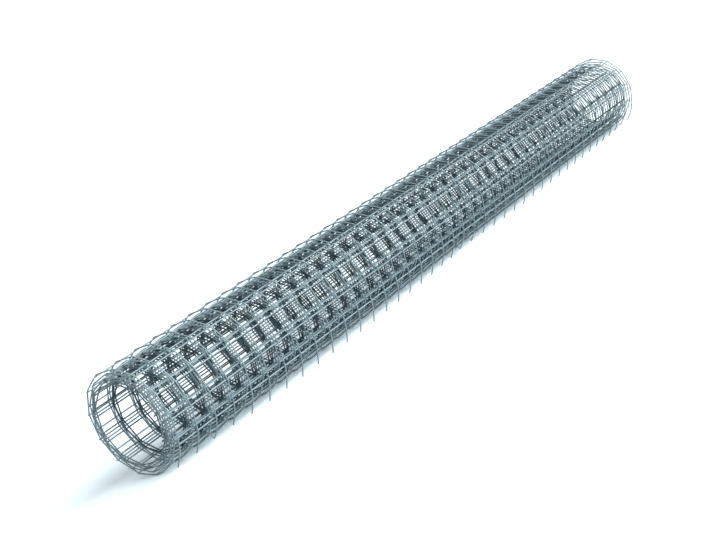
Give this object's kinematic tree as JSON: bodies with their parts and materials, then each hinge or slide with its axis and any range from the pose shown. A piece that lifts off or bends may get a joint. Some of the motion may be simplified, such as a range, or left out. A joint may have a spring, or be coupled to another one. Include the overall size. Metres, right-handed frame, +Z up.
{
  "type": "roll of craft wire mesh",
  "caption": "Roll of fine galvanised welded square wire mesh lying on its side, open through the middle, with its loose outer end sprung down to the floor.",
  "frame": {"origin": "on the floor, under the middle of the part's bounding box", "axes": "+X along the roll, +Y across the floor away from the loose end, +Z up"},
  "size_m": [0.508, 0.0548, 0.052],
  "materials": {
    "galvanised_wire": "zinc-coated drawn wire, dull silver grey"
  },
  "bodies": {
    "root": {"mesh_roll": "galvanised_wire"}
  },
  "joints": []
}
